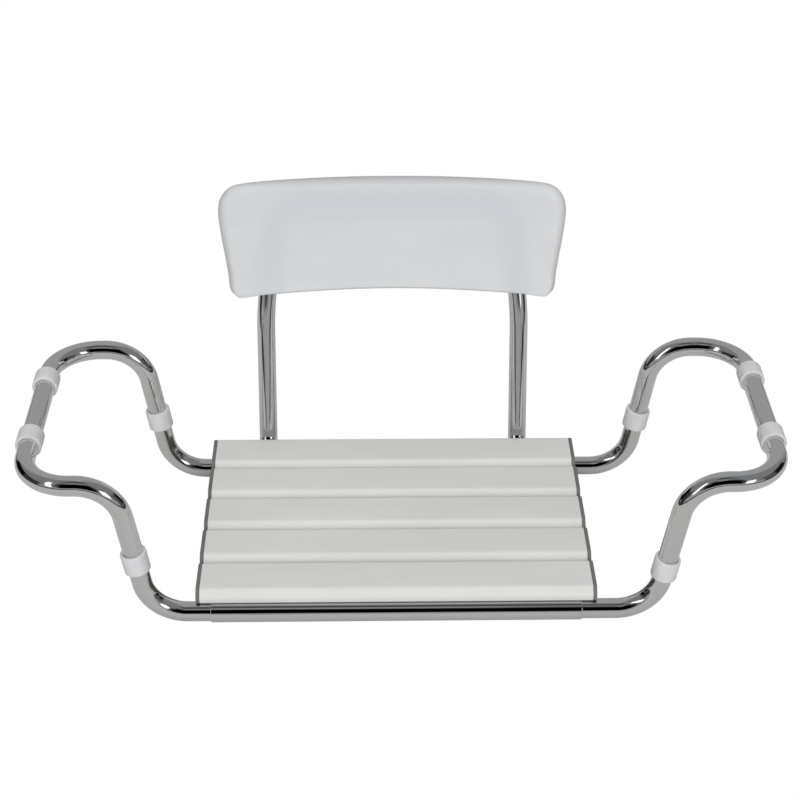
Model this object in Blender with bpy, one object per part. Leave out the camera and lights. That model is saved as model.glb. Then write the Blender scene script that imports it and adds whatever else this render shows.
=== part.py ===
"""Bath transfer seat that hangs in a tub: slatted seat, two sliding chrome arms, backrest.

Lengths below are millimetres and become metres in put(). X is across the tub, Y runs from the
front of the seat to the backrest, Z is up. The seat's two sleeve tubes stand on Z = 0.
"""

import math

import bmesh
import bpy
from mathutils import Vector
from mathutils.geometry import tessellate_polygon

# ---- driving dimensions (mm) ----
CENTRE = Vector((5.7, 71.93, 0.0))   # middle of the whole object's footprint, moved to the origin

TUBE_R = 10.0            # chrome tube of the arms and of the backrest frame
TUBE_BORE_R = 8.5
TUBE_SIDES = 16
SLEEVE_R = 11.3          # outer tube that an arm slides in
SLEEVE_BORE_R = 10.4
SLEEVE_SIDES = 24
SLEEVE_HALF = 185.0
SLEEVE_Y = 124.0         # the front and rear sleeves lie at -Y and +Y of this
SLEEVE_Z = SLEEVE_R * math.cos(math.pi / SLEEVE_SIDES)
GAP = 0.3

SLAT_COUNT = 5
SLAT_PITCH = 55.35
SLAT_WIDTH = 54.45
SLAT_T = 14.2
SLAT_CHAMFER = 6.9
SLAT_WALL = 2.2
SLAT_HALF = 196.0        # half length of a slat without its caps
CAP_T = 4.0
CAP_PLUG = 9.0
SEAT_BACK_Y = 148.85     # rear face of the rearmost slat
SLAT_BOTTOM = 2 * SLEEVE_Z + GAP

ARM_BEND_X = {"Left": 208.2, "Right": 219.6}   # where the first bend starts, from the middle
ARM_BASE = 138.0         # straight length of an arm inside and beside its sleeve
ARM_R1 = 44.0            # bends at the foot and at the top of a leg
ARM_R3 = 48.0            # bend that turns the arm along the tub rim
LEG_LEAN = math.radians(8.8)
LEG_LENGTH = 81.4
ARM_REACH = 5.5          # straight between the top bend and the rim bend

COLLAR_R = 13.1
COLLAR_BORE_R = 10.3
COLLAR_HALF = 11.3
LEG_COLLAR_Z = {("Left", "Front"): 76.0, ("Left", "Rear"): 79.5,
                ("Right", "Front"): 63.5, ("Right", "Rear"): 76.0}
RAIL_COLLAR_Y = {("Left", "Front"): -47.0, ("Left", "Rear"): 60.0,
                 ("Right", "Front"): -51.0, ("Right", "Rear"): 64.0}

UPRIGHT_X = 140.9
UPRIGHT_LEAN = math.radians(17.16)
UPRIGHT_Y0 = 171.0       # upright's axis at the height of the seat's top face
UPRIGHT_FOOT_R = 26.0
KINK_Z = 157.3
RECLINE = math.radians(20.0)
LEG_TAPER = math.radians(5.0)
FRAME_TOP_W = 126.0      # top bar above the kink, along the backrest
FRAME_CORNER_R = 38.0
BACK_BOW = 9.4           # how far the middle of the backrest lies behind its legs

PAD_T = 28.0
PAD_WALL = 2.6
PAD_BOTTOM_W = 30.0

BEARER_Z = SLAT_BOTTOM - GAP - TUBE_R * math.cos(math.pi / TUBE_SIDES)
SCREW_R = 2.2
LOCK_X = 160.0


# ---- materials ----
def material(name, colour, rough, metallic=0.0, subsurface=0.0, coat=0.0):
    mat = bpy.data.materials.new(name)
    mat.use_nodes = True
    node = mat.node_tree.nodes["Principled BSDF"]
    node.inputs["Base Color"].default_value = (*colour, 1.0)
    node.inputs["Roughness"].default_value = rough
    node.inputs["Metallic"].default_value = metallic
    node.inputs["Subsurface Weight"].default_value = subsurface
    node.inputs["Coat Weight"].default_value = coat
    mat.diffuse_color = (*colour, 1.0)
    return mat


def chrome(name):
    return material(name, (0.80, 0.81, 0.80), 0.08, metallic=1.0)


def white_pvc(name):
    return material(name, (0.80, 0.80, 0.79), 0.38, coat=0.15)


def grey_plastic(name):
    return material(name, (0.15, 0.15, 0.135), 0.5)


def milky_plastic(name):
    return material(name, (0.78, 0.79, 0.81), 0.45, subsurface=0.25)


def white_rubber(name):
    return material(name, (0.85, 0.85, 0.84), 0.5)


def zinc(name):
    return material(name, (0.62, 0.63, 0.65), 0.35, metallic=1.0)


# ---- mesh helpers ----
def put(name, points, faces, mat, pivot=None, keep_sharp=35.0):
    """One mesh object from millimetre points. Its origin is at pivot."""
    pivot = Vector(pivot) if pivot is not None else Vector((0.0, 0.0, 0.0))
    mesh = bpy.data.meshes.new(name)
    mesh.from_pydata([(Vector(p) - pivot) * 0.001 for p in points], [], faces)
    shape = bmesh.new()
    shape.from_mesh(mesh)
    bmesh.ops.remove_doubles(shape, verts=shape.verts, dist=1e-7)
    bmesh.ops.recalc_face_normals(shape, faces=shape.faces)
    shape.to_mesh(mesh)
    shape.free()
    for face in mesh.polygons:
        face.use_smooth = True
    mesh.set_sharp_from_angle(angle=math.radians(keep_sharp))
    mesh.update()
    obj = bpy.data.objects.new(name, mesh)
    obj.location = (pivot - CENTRE) * 0.001
    obj.data.materials.append(mat)
    bpy.context.scene.collection.objects.link(obj)
    return obj


def frames(path, normal):
    """(tangent, normal, side) at each point of a path, turned with it and never twisted."""
    out = []
    normal = Vector(normal)
    for i, p in enumerate(path):
        a = (p - path[i - 1]).normalized() if i else (path[1] - p).normalized()
        b = (path[i + 1] - p).normalized() if i + 1 < len(path) else a
        t = (a + b).normalized()
        normal = (normal - t * normal.dot(t)).normalized()
        out.append((t, normal.copy(), t.cross(normal)))
    return out


def ring(centre, frame, radius, sides):
    _, n, s = frame
    turns = [2 * math.pi * (k + 0.5) / sides for k in range(sides)]
    return [centre + n * (radius * math.cos(a)) + s * (radius * math.sin(a)) for a in turns]


def skin(rings, closed_loop=False):
    """Quads between rings of equal length."""
    sides = len(rings[0])
    faces = []
    last = len(rings) if closed_loop else len(rings) - 1
    for i in range(last):
        a, b = i * sides, ((i + 1) % len(rings)) * sides
        for k in range(sides):
            m = (k + 1) % sides
            faces.append((a + k, a + m, b + m, b + k))
    return faces


def tube_mesh(path, normal, outer, bore, sides):
    """A hollow tube: the outer skin goes along the path and the bore comes back."""
    fr = frames(path, normal)
    rings = [ring(p, f, outer, sides) for p, f in zip(path, fr)]
    rings += [ring(p, f, bore, sides) for p, f in reversed(list(zip(path, fr)))]
    points = [p for r in rings for p in r]
    return points, [tuple(reversed(f)) for f in skin(rings, closed_loop=True)]


def lathe(centre, axis, normal, profile, sides):
    """A closed ring or a solid turned about an axis. A radius of 0 closes an end."""
    axis = Vector(axis).normalized()
    normal = Vector(normal)
    normal = (normal - axis * normal.dot(axis)).normalized()
    frame = (axis, normal, axis.cross(normal))
    centre = Vector(centre)
    hollow = profile[0][1] > 0
    rings = [ring(centre + axis * a, frame, r, sides) for a, r in profile if r > 0]
    points = [p for r in rings for p in r]
    faces = [tuple(reversed(f)) for f in skin(rings, closed_loop=hollow)]
    if not hollow:
        faces.append(tuple(range(sides)))
        faces.append(tuple(reversed(range(len(points) - sides, len(points)))))
    return points, faces


def arc(path, normal, radius, angle, steps):
    """Extends a path by an arc that turns towards the normal. Returns the new direction."""
    t = (path[-1] - path[-2]).normalized()
    n = Vector(normal)
    n = (n - t * n.dot(t)).normalized()
    centre = path[-1] + n * radius
    for i in range(1, steps + 1):
        a = angle * i / steps
        path.append(centre - n * (radius * math.cos(a)) + t * (radius * math.sin(a)))
    return t * math.cos(angle) + n * math.sin(angle)


def rounded(corners, radius, steps):
    """A closed outline with each corner replaced by a short arc."""
    out = []
    for i, c in enumerate(corners):
        c = Vector(c)
        a = (Vector(corners[i - 1]) - c)
        b = (Vector(corners[(i + 1) % len(corners)]) - c)
        reach = min(radius, a.length * 0.45, b.length * 0.45)
        p, q = c + a.normalized() * reach, c + b.normalized() * reach
        for k in range(steps + 1):
            u = k / steps
            out.append(p * (1 - u) ** 2 + c * (2 * u * (1 - u)) + q * u ** 2)
    return out


def cut(target, cutter_points, cutter_faces, label):
    """Takes a closed cutter out of the target with an exact Boolean."""
    tool = put(label, cutter_points, cutter_faces, target.data.materials[0])
    tool.hide_render = True
    tool.display_type = "WIRE"
    mod = target.modifiers.new(label, "BOOLEAN")
    mod.operation = "DIFFERENCE"
    mod.solver = "EXACT"
    mod.object = tool
    mod.show_viewport = mod.show_render = True


# ---- sleeves, arms and collars ----
def sleeve(name, y):
    path = [Vector((-SLEEVE_HALF, y, SLEEVE_Z)), Vector((SLEEVE_HALF, y, SLEEVE_Z))]
    points, faces = tube_mesh(path, (0, 0, 1), SLEEVE_R, SLEEVE_BORE_R, SLEEVE_SIDES)
    tube = put(name, points, faces, chrome(name + "_chrome"))
    inward = -1.0 if y > 0 else 1.0
    for side, x in (("left", -LOCK_X), ("right", LOCK_X)):
        cutter = lathe((x, y, SLEEVE_Z), (0, inward, 0), (0, 0, 1),
                       [(9.0, 0.0), (9.0, 2.9), (14.0, 2.9), (14.0, 0.0)], 12)
        cut(tube, *cutter, f"{name}_{side}_lock_hole")
    return tube


def arm_path(side):
    """Centre line from the end inside the front sleeve to the end inside the rear sleeve."""
    s = -1.0 if side == "Left" else 1.0
    bend = ARM_BEND_X[side]
    path = [Vector((s * (bend - ARM_BASE), 0, SLEEVE_Z)), Vector((s * bend, 0, SLEEVE_Z))]
    t = arc(path, (0, 0, 1), ARM_R1, math.pi / 2 - LEG_LEAN, 5)
    path.append(path[-1] + t * LEG_LENGTH)
    t = arc(path, (s, 0, -0.2), ARM_R1, math.pi / 2 - LEG_LEAN, 5)
    path.append(path[-1] + t * ARM_REACH)
    arc(path, (0, 1, 0), ARM_R3, math.pi / 2, 6)
    half = [Vector((p.x, p.y - SLEEVE_Y, p.z)) for p in path]
    back = [Vector((p.x, -p.y, p.z)) for p in reversed(half)]
    return half + back


def arm(side):
    path = arm_path(side)
    points, faces = tube_mesh(path, (0, 0, 1), TUBE_R, TUBE_BORE_R, TUBE_SIDES)
    return put(f"{side}_arm_tube", points, faces, chrome(f"{side}_arm_chrome"),
               pivot=(path[0].x, 0, SLEEVE_Z))


def collar(name, centre, axis, normal):
    r, b, h = COLLAR_R, COLLAR_BORE_R, COLLAR_HALF
    profile = [(-h, b), (-h, r - 1.3), (-h + 0.5, r - 0.4), (-h + 1.6, r),
               (h - 1.6, r), (h - 0.5, r - 0.4), (h, r - 1.3), (h, b)]
    points, faces = lathe(centre, axis, normal, profile, TUBE_SIDES)
    return put(name, points, faces, white_rubber(name + "_plastic"))


def collars(side):
    s = -1.0 if side == "Left" else 1.0
    foot = ARM_BEND_X[side] + ARM_R1 * math.cos(LEG_LEAN)
    foot_z = SLEEVE_Z + ARM_R1 * (1 - math.sin(LEG_LEAN))
    lean = Vector((s * math.sin(LEG_LEAN), 0, math.cos(LEG_LEAN)))
    rail_x = max(abs(p.x) for p in arm_path(side))
    rail_z = max(p.z for p in arm_path(side))
    for end, sy in (("Front", -1.0), ("Rear", 1.0)):
        z = LEG_COLLAR_Z[side, end]
        x = foot + (z - foot_z) * math.tan(LEG_LEAN)
        collar(f"{side}_{end.lower()}_leg_collar", (s * x, sy * SLEEVE_Y, z), lean, (s, 0, 0))
        collar(f"{side}_{end.lower()}_rail_collar",
               (s * rail_x, RAIL_COLLAR_Y[side, end], rail_z), (0, 1, 0), (0, 0, 1))


# ---- seat ----
def slat_outline(grow=0.0):
    """Outline of a slat in (Y, Z) about its middle, Z = 0 at its top face."""
    w, c, t = SLAT_WIDTH / 2 + grow, SLAT_CHAMFER, SLAT_T
    corners = [(-w, -t), (w, -t), (w, -c), (w - c, 0), (-(w - c), 0), (-w, -c)]
    return rounded(corners, 2.4, 2)


def slat_cells(shrink=0.0):
    """The two hollow cells of a slat, as outlines in (Y, Z)."""
    g = SLAT_WALL + shrink
    w, c, t = SLAT_WIDTH / 2 - g, SLAT_CHAMFER, SLAT_T
    rib = 0.9 + shrink
    right = [(rib, -t + g), (w, -t + g), (w, -c - 0.4 * g), (w - c + 0.6 * g, -g), (rib, -g)]
    left = [(-y, z) for y, z in reversed(right)]
    return [[Vector(p) for p in left], [Vector(p) for p in right]]


def slat_y(index):
    return SEAT_BACK_Y - SLAT_WIDTH / 2 - SLAT_PITCH * index


def flat_faces(loops, base, flip):
    """Triangles that fill an outline with holes. base holds each loop's first point number."""
    numbers = [base[i] + k for i, loop in enumerate(loops) for k in range(len(loop))]
    tris = tessellate_polygon([[Vector((p.x, p.y, 0)) for p in loop] for loop in loops])
    flat = [p for loop in loops for p in loop]
    out = []
    for a, b, c in tris:
        area = (flat[b] - flat[a]).cross(flat[c] - flat[a])
        tri = (a, b, c) if (area > 0) != flip else (c, b, a)
        out.append(tuple(numbers[i] for i in tri))
    return out


def slat(index, name):
    y0, z0 = slat_y(index), SLAT_BOTTOM + SLAT_T
    loops = [slat_outline()] + slat_cells()
    points, faces, bases = [], [], []
    for x in (-SLAT_HALF, SLAT_HALF):
        base = []
        for loop in loops:
            base.append(len(points))
            points += [Vector((x, y0 + p.x, z0 + p.y)) for p in loop]
        bases.append(base)
    for i, loop in enumerate(loops):
        a, b, n = bases[0][i], bases[1][i], len(loop)
        for k in range(n):
            m = (k + 1) % n
            quad = (a + k, a + m, b + m, b + k)
            faces.append(tuple(reversed(quad)) if i == 0 else quad)
    faces += flat_faces(loops, bases[0], True) + flat_faces(loops, bases[1], False)
    obj = put(name, points, faces, white_pvc(name + "_pvc"), keep_sharp=50.0)
    for side, x in (("left", -UPRIGHT_X), ("right", UPRIGHT_X)):
        cutter = lathe((x, screw_y(index), SLAT_BOTTOM), (0, 0, 1), (1, 0, 0),
                       [(-2.0, 0.0), (-2.0, SCREW_R + 0.4), (SLAT_WALL + 1.5, SCREW_R + 0.4),
                        (SLAT_WALL + 1.5, 0.0)], 10)
        cut(obj, *cutter, f"{name}_{side}_screw_hole")
    return obj


def slat_cap(index, name, s):
    """End cap: a plate of the slat's outline with two plugs that enter the slat's cells."""
    y0, z0 = slat_y(index), SLAT_BOTTOM + SLAT_T
    outline = slat_outline()
    mid = Vector((0.0, -SLAT_T / 2))
    rings = []
    for x, k in ((SLAT_HALF + GAP, 0.0), (SLAT_HALF + CAP_T - 0.9, 0.0), (SLAT_HALF + CAP_T, 0.9)):
        rings.append([(x, p + (mid - p).normalized() * k) for p in outline])
    points = [Vector((s * x, y0 + p.x, z0 + p.y)) for r in rings for x, p in r]
    n = len(outline)
    faces = []
    for f in skin(rings):
        faces.append(tuple(reversed(f)) if s > 0 else f)
    outer = [p for _, p in rings[2]]
    faces += flat_faces([outer], [2 * n], s < 0)
    cells = slat_cells(0.3)
    base = [0]
    for loop in cells:
        base.append(len(points))
        points += [Vector((s * (SLAT_HALF + GAP), y0 + p.x, z0 + p.y)) for p in loop]
    faces += flat_faces([outline] + cells, base, s > 0)
    for loop, b in zip(cells, base[1:]):
        tip = len(points)
        points += [Vector((s * (SLAT_HALF - CAP_PLUG), y0 + p.x, z0 + p.y)) for p in loop]
        for k in range(len(loop)):
            m = (k + 1) % len(loop)
            quad = (b + k, b + m, tip + m, tip + k)
            faces.append(tuple(reversed(quad)) if s < 0 else quad)
        faces += flat_faces([loop], [tip], s > 0)
    return put(name, points, faces, grey_plastic(name + "_grey"), keep_sharp=50.0)


def screw_y(index):
    """Slat screws miss the slat's rib, and on the first slat also the rear sleeve."""
    return slat_y(index) + (-17.5 if index == 0 else 10.0)


def bearer(name, x):
    """Straight tube under the slats, its ends hollowed to meet the round sleeves."""
    reach = SLEEVE_R + GAP
    normal = Vector((0, 0, 1))
    rings = []
    for radius, signs in ((TUBE_R, (-1, 1)), (TUBE_BORE_R, (1, -1))):
        for sy in signs:
            frame = (Vector((0, 1, 0)), normal, Vector((0, 1, 0)).cross(normal))
            pts = ring(Vector((x, 0, BEARER_Z)), frame, radius, TUBE_SIDES)
            for p in pts:
                dz = p.z - SLEEVE_Z
                p.y = sy * (SLEEVE_Y - math.sqrt(max(reach ** 2 - dz ** 2, 0.0)))
            rings.append(pts)
    points = [p for r in rings for p in r]
    faces = [tuple(reversed(f)) for f in skin(rings, closed_loop=True)]
    obj = put(name, points, faces, chrome(name + "_chrome"))
    for i in range(SLAT_COUNT):
        cutter = lathe((x, screw_y(i), BEARER_Z), (0, 0, 1), (1, 0, 0),
                       [(-14.0, 0.0), (-14.0, SCREW_R + 0.3), (14.0, SCREW_R + 0.3), (14.0, 0.0)],
                       10)
        cut(obj, *cutter, f"{name}_hole_{i + 1}")
    return obj


def round_head_screw(name, seat, axis, length, head_r=4.2, head_h=2.4, shank=SCREW_R):
    """Screw whose head rests on seat and whose shank runs along axis."""
    profile = [(-head_h, 0.0), (-head_h, head_r * 0.55), (-head_h * 0.6, head_r * 0.88),
               (-0.3, head_r), (-GAP * 0.4, head_r), (-GAP * 0.4, shank),
               (length - 1.5, shank), (length, shank * 0.35), (length, 0.0)]
    normal = (1, 0, 0) if abs(Vector(axis).x) < 0.5 else (0, 0, 1)
    points, faces = lathe(seat, axis, normal, profile, 10)
    return put(name, points, faces, zinc(name + "_steel"))


def slat_screws():
    for i in range(SLAT_COUNT):
        for side, x in (("left", -UPRIGHT_X), ("right", UPRIGHT_X)):
            under = BEARER_Z - TUBE_R - 0.05
            round_head_screw(f"Slat_{i + 1}_{side}_screw", (x, screw_y(i), under), (0, 0, 1),
                             SLAT_BOTTOM + SLAT_WALL + 3.0 - under)


def lock_parts():
    """Welded nut and hexagon bolt that clamp each arm tube in its sleeve."""
    for end, sy in (("Front", -1.0), ("Rear", 1.0)):
        for side, sx in (("left", -1.0), ("right", 1.0)):
            centre = (sx * LOCK_X, sy * SLEEVE_Y, SLEEVE_Z)
            axis = (0, -sy, 0)
            nut = [(SLEEVE_R + GAP, 2.9), (SLEEVE_R + GAP, 6.0), (SLEEVE_R + 5.0, 6.0),
                   (SLEEVE_R + 5.0, 2.9)]
            points, faces = lathe(centre, axis, (0, 0, 1), nut, 6)
            put(f"{end}_{side}_lock_nut", points, faces, zinc(f"{end}_{side}_nut_steel"))
            base = SLEEVE_R + 5.0 + GAP
            bolt = [(TUBE_R + GAP, 0.0), (TUBE_R + GAP, 2.4), (base, 2.4), (base, 5.4),
                    (base + 3.4, 5.4), (base + 4.0, 4.8), (base + 4.0, 0.0)]
            points, faces = lathe(centre, axis, (0, 0, 1), bolt, 6)
            put(f"{end}_{side}_lock_bolt", points, faces, zinc(f"{end}_{side}_bolt_steel"))


# ---- backrest ----
def back_point(x, w, d):
    """Point of the reclined, bowed backrest: w up along it from the kink, d behind its middle."""
    bow = BACK_BOW * (1.0 - (x / UPRIGHT_X) ** 2)
    slope = -2.0 * BACK_BOW * x / UPRIGHT_X ** 2
    across = Vector((1.0, slope)).normalized()
    px = x - d * across.y
    out = bow + d * across.x
    y = KINK_Y + w * math.sin(RECLINE) + out * math.cos(RECLINE)
    z = KINK_Z + w * math.cos(RECLINE) - out * math.sin(RECLINE)
    return Vector((px, y, z))


SEAT_TOP = SLAT_BOTTOM + SLAT_T
KINK_Y = UPRIGHT_Y0 + (KINK_Z - SEAT_TOP) * math.tan(UPRIGHT_LEAN)


def frame_half():
    """Centre line of the left half of the backrest frame, from the rear sleeve to the top."""
    x = -UPRIGHT_X
    start = SLEEVE_Y + SLEEVE_R + GAP
    foot_y = UPRIGHT_Y0 - (SEAT_TOP - SLEEVE_Z) * math.tan(UPRIGHT_LEAN)
    turn = math.pi / 2 - UPRIGHT_LEAN
    reach = UPRIGHT_FOOT_R * math.tan(turn / 2)
    path = [Vector((x, start, SLEEVE_Z)), Vector((x, foot_y - reach, SLEEVE_Z))]
    arc(path, (0, 0, 1), UPRIGHT_FOOT_R, turn, 5)
    up = Vector((0, math.sin(UPRIGHT_LEAN), math.cos(UPRIGHT_LEAN)))
    kink = Vector((x, KINK_Y, KINK_Z))
    path.append(kink - up * 9.0)
    corner_x = UPRIGHT_X - (FRAME_TOP_W - FRAME_CORNER_R) * math.tan(LEG_TAPER)
    for w in (3.0, 9.0):
        path.append(back_point(-(UPRIGHT_X - w * math.tan(LEG_TAPER) * 0.8), w, 0))
    for w in (35.0, 62.0):
        path.append(back_point(-(UPRIGHT_X - w * math.tan(LEG_TAPER)), w, 0))
    r = FRAME_CORNER_R
    for k in range(0, 7):
        a = (math.pi / 2 - LEG_TAPER) * k / 6 + LEG_TAPER
        path.append(back_point(-corner_x + r - r * math.cos(a - LEG_TAPER * (1 - k / 6)),
                               FRAME_TOP_W - r + r * math.sin(a - LEG_TAPER * (1 - k / 6)), 0))
    for t in (0.66, 0.33):
        path.append(back_point((-corner_x + r) * t, FRAME_TOP_W, 0))
    return path


def backrest_frame():
    half = frame_half()
    path = half + [back_point(0, FRAME_TOP_W, 0)]
    path += [Vector((-p.x, p.y, p.z)) for p in reversed(half)]
    points, faces = tube_mesh(path, (0, 0, 1), TUBE_R, TUBE_BORE_R, TUBE_SIDES)
    n, reach = TUBE_SIDES, SLEEVE_R + GAP
    ends = list(range(n)) + list(range(len(points) - n, len(points)))
    half_n = len(points) // 2
    ends += list(range(half_n - n, half_n + n))
    for i in ends:
        p = points[i]
        p.y = SLEEVE_Y + math.sqrt(max(reach ** 2 - (p.z - SLEEVE_Z) ** 2, 0.0))
    obj = put("Backrest_frame_tube", points, faces, chrome("Backrest_frame_chrome"))
    for side, s in (("left", -1.0), ("right", 1.0)):
        seat, axis = pad_screw(s)
        cutter = lathe(seat, axis, (1, 0, 0), [(2.0, 0.0), (2.0, SCREW_R + 0.35),
                       (PAD_T / 2 - 3.0, SCREW_R + 0.35), (PAD_T / 2 - 3.0, 0.0)], 10)
        cut(obj, *cutter, f"Backrest_frame_{side}_hole")
    return obj


def pad_screw(s):
    w = PAD_BOTTOM_W + 22.0
    x = s * (UPRIGHT_X - w * math.tan(LEG_TAPER))
    seat = back_point(x, w, PAD_T / 2)
    axis = (back_point(x, w, 0) - seat).normalized()
    return seat, axis


def pad_shell(inset, drop):
    """Rounded slab on the backrest's outline, smaller by inset and longer below by drop."""
    t = PAD_T / 2 - inset
    upper = [(-187.2, 88.0), (-190.2, 112.0), (-189.6, 126.0), (-186.0, 136.2), (-179.6, 144.0),
             (-171.0, 148.6), (-152.0, 150.8), (-120.0, 152.4), (-80.0, 153.6), (-40.0, 154.2),
             (0.0, 154.4)]
    lower = [(-181.2, 52.0), (-180.0, 38.0), (-179.0, 32.0), (-176.6, 27.4), (-173.0, 24.2),
             (-168.0, 23.0), (-150.0, 24.6), (-118.0, 26.5), (-79.0, 28.2), (-39.0, 29.5),
             (0.0, 30.0)]
    tilts = [90.0, 90.0, 74.0, 52.0, 32.0, 16.0, 4.0, 1.0, 0.0, 0.0, 0.0]
    slides = [1.0, 1.0, 0.9, 0.72, 0.45, 0.2, 0.0, 0.0, 0.0, 0.0, 0.0]
    if inset:
        upper = [(x * (1 - inset / 190.2), w - inset) for x, w in upper]
        lower = [(x * (1 - inset / 180.0), w - drop) for x, w in lower]
    upper += [(-x, w) for x, w in reversed(upper[:-1])]
    lower += [(-x, w) for x, w in reversed(lower[:-1])]
    tilts += tilts[-2::-1]
    slides += slides[-2::-1]
    count = len(upper)
    edge = min(8.0, t - 1.0)
    turns = [math.pi / 2 * k / 4 for k in range(5)]
    front = [(-t + edge * (1 - math.sin(a)), edge * (1 - math.cos(a))) for a in turns]
    depth = sorted(set(front + [(-d, e) for d, e in front]))
    loops = []
    for d, e in depth:
        loop = []
        for i, (x, w) in enumerate(upper):
            s = -1.0 if x < 0 else 1.0
            tilt = math.radians(tilts[i])
            loop.append((x - s * e * math.sin(tilt), w - e * math.cos(tilt)))
        for i, (x, w) in reversed(list(enumerate(lower))):
            s = -1.0 if x < 0 else 1.0
            loop.append((x - s * e * slides[i], w))
        loops.append([back_point(x, w, d) for x, w in loop])
    points = [p for loop in loops for p in loop]
    n = len(loops[0])
    faces = skin(loops)
    for loop_at, flip in ((0, True), (len(loops) - 1, False)):
        b = loop_at * n
        caps = [(b + i, b + i + 1, b + n - 2 - i, b + n - 1 - i) for i in range(5, count - 6)]
        left = list(range(6))
        right = list(range(count - 6, count))
        for end in (left, right):
            caps.append(tuple([b + i for i in end] + [b + n - 1 - i for i in reversed(end)]))
        faces += [f if flip else tuple(reversed(f)) for f in caps]
    return points, faces


def backrest_pad():
    points, faces = pad_shell(0.0, 0.0)
    obj = put("Backrest_pad", points, faces, milky_plastic("Backrest_pad_plastic"))
    cut(obj, *pad_shell(PAD_WALL, 14.0), "Backrest_pad_hollow")
    for side, s in (("left", -1.0), ("right", 1.0)):
        seat, axis = pad_screw(s)
        cutter = lathe(seat, axis, (1, 0, 0), [(-3.0, 0.0), (-3.0, SCREW_R + 0.35),
                       (PAD_WALL + 1.0, SCREW_R + 0.35), (PAD_WALL + 1.0, 0.0)], 10)
        cut(obj, *cutter, f"Backrest_pad_{side}_hole")
        start = seat - axis * 0.35
        round_head_screw(f"Backrest_{side}_screw", start, axis, 9.5, head_r=4.6)
    return obj


def build():
    for obj in list(bpy.data.objects):
        bpy.data.objects.remove(obj, do_unlink=True)
    sleeve("Front_sleeve_tube", -SLEEVE_Y)
    sleeve("Rear_sleeve_tube", SLEEVE_Y)
    for side in ("Left", "Right"):
        arm(side)
        collars(side)
    for i in range(SLAT_COUNT):
        slat(i, f"Slat_{i + 1}")
        slat_cap(i, f"Slat_{i + 1}_left_cap", -1.0)
        slat_cap(i, f"Slat_{i + 1}_right_cap", 1.0)
    bearer("Left_bearer_tube", -UPRIGHT_X)
    bearer("Right_bearer_tube", UPRIGHT_X)
    slat_screws()
    lock_parts()
    backrest_frame()
    backrest_pad()


build()
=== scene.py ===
import math

import bmesh
import bpy
import numpy as np
from mathutils import Matrix, Vector
from mathutils.geometry import tessellate_polygon

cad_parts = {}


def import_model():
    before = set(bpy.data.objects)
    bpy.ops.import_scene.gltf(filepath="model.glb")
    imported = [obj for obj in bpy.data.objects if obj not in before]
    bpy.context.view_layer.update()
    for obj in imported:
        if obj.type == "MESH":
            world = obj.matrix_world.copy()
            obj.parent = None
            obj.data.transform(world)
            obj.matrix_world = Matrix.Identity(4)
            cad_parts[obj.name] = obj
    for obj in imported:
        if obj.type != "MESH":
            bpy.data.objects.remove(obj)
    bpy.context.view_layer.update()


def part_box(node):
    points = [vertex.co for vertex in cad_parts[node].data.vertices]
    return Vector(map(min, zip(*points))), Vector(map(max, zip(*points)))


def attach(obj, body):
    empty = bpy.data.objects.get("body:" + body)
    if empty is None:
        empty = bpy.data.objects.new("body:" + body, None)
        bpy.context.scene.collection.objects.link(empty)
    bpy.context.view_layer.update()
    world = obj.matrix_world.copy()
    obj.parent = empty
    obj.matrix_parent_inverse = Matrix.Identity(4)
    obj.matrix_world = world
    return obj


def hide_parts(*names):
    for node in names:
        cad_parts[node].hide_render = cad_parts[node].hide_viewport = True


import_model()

# ---- dimensions in millimetres, about the middle of the seat ----
# tubes
TUBE_R, TUBE_BORE = 10.0, 8.5
SLEEVE_R, SLEEVE_BORE = 11.2, 10.4
BEARER_R = 9.8
SADDLE_R = SLEEVE_R + 0.4           # of the cut where a tube's end meets a sleeve
RIM_SUPPORT = 0.5                   # how close to its rim a tube's next ring is
SIDES = 64                          # round a tube
# arms
ARM_BASE = 138.0                    # straight run from the end in the sleeve to the foot bend
FOOT_BEND_R = 44.0                  # both bends of a leg
LEG_LEAN = math.radians(8.8)
LEG_LENGTH = 81.4
ARM_REACH = 5.5                     # straight run from a leg's upper bend to the rail's bend
RIM_BEND_R = 48.0                   # bend into the rail
COLLAR_R, COLLAR_BORE, COLLAR_HALF = 13.05, 10.03, 11.25
COLLAR_ROUND, COLLAR_CUT = 1.5, 0.15
# seat
SLAT_CHAMFER, SLAT_WALL, SLAT_ROUND, SLAT_RIB = 6.9, 2.2, 2.4, 1.8
CAP_GAP, CAP_T, CAP_PLUG = 0.3, 4.0, 9.0
CAP_CUT, CAP_ROUND, PLUG_GAP = 0.25, 1.0, 0.3
SCREW_R, SCREW_HEAD_H, SCREW_PITCH = 2.2, 2.2, 1.2
SLAT_SCREW_HEAD = 2.4               # from the lowest point of a slat screw to its head's seat
LOCK_NUT_T = 5.3
# backrest: w is the distance up along it from the kink in the uprights
UPRIGHT_LEAN = math.radians(17.16)
UPRIGHT_Y0 = 171.0                  # where the uprights pass the level of the seat's top
UPRIGHT_X, UPRIGHT_FOOT_R = 140.9, 26.0
KINK_Z, KINK_BLEND = 157.3, 16.0
RECLINE = math.radians(20.0)
LEG_TAPER = math.radians(5.0)
FRAME_TOP_W, FRAME_CORNER_R = 126.0, 38.0
BACK_BOW = 9.4                      # how far the middle lies behind the sides
PAD_T, PAD_WALL, PAD_SCREW_W = 28.0, 2.6, 52.0


def node_box(node):
    lo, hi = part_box(node)
    return Vector(lo) * 1000.0, Vector(hi) * 1000.0


def node_mid(node):
    lo, hi = node_box(node)
    return (lo + hi) / 2.0


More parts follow.
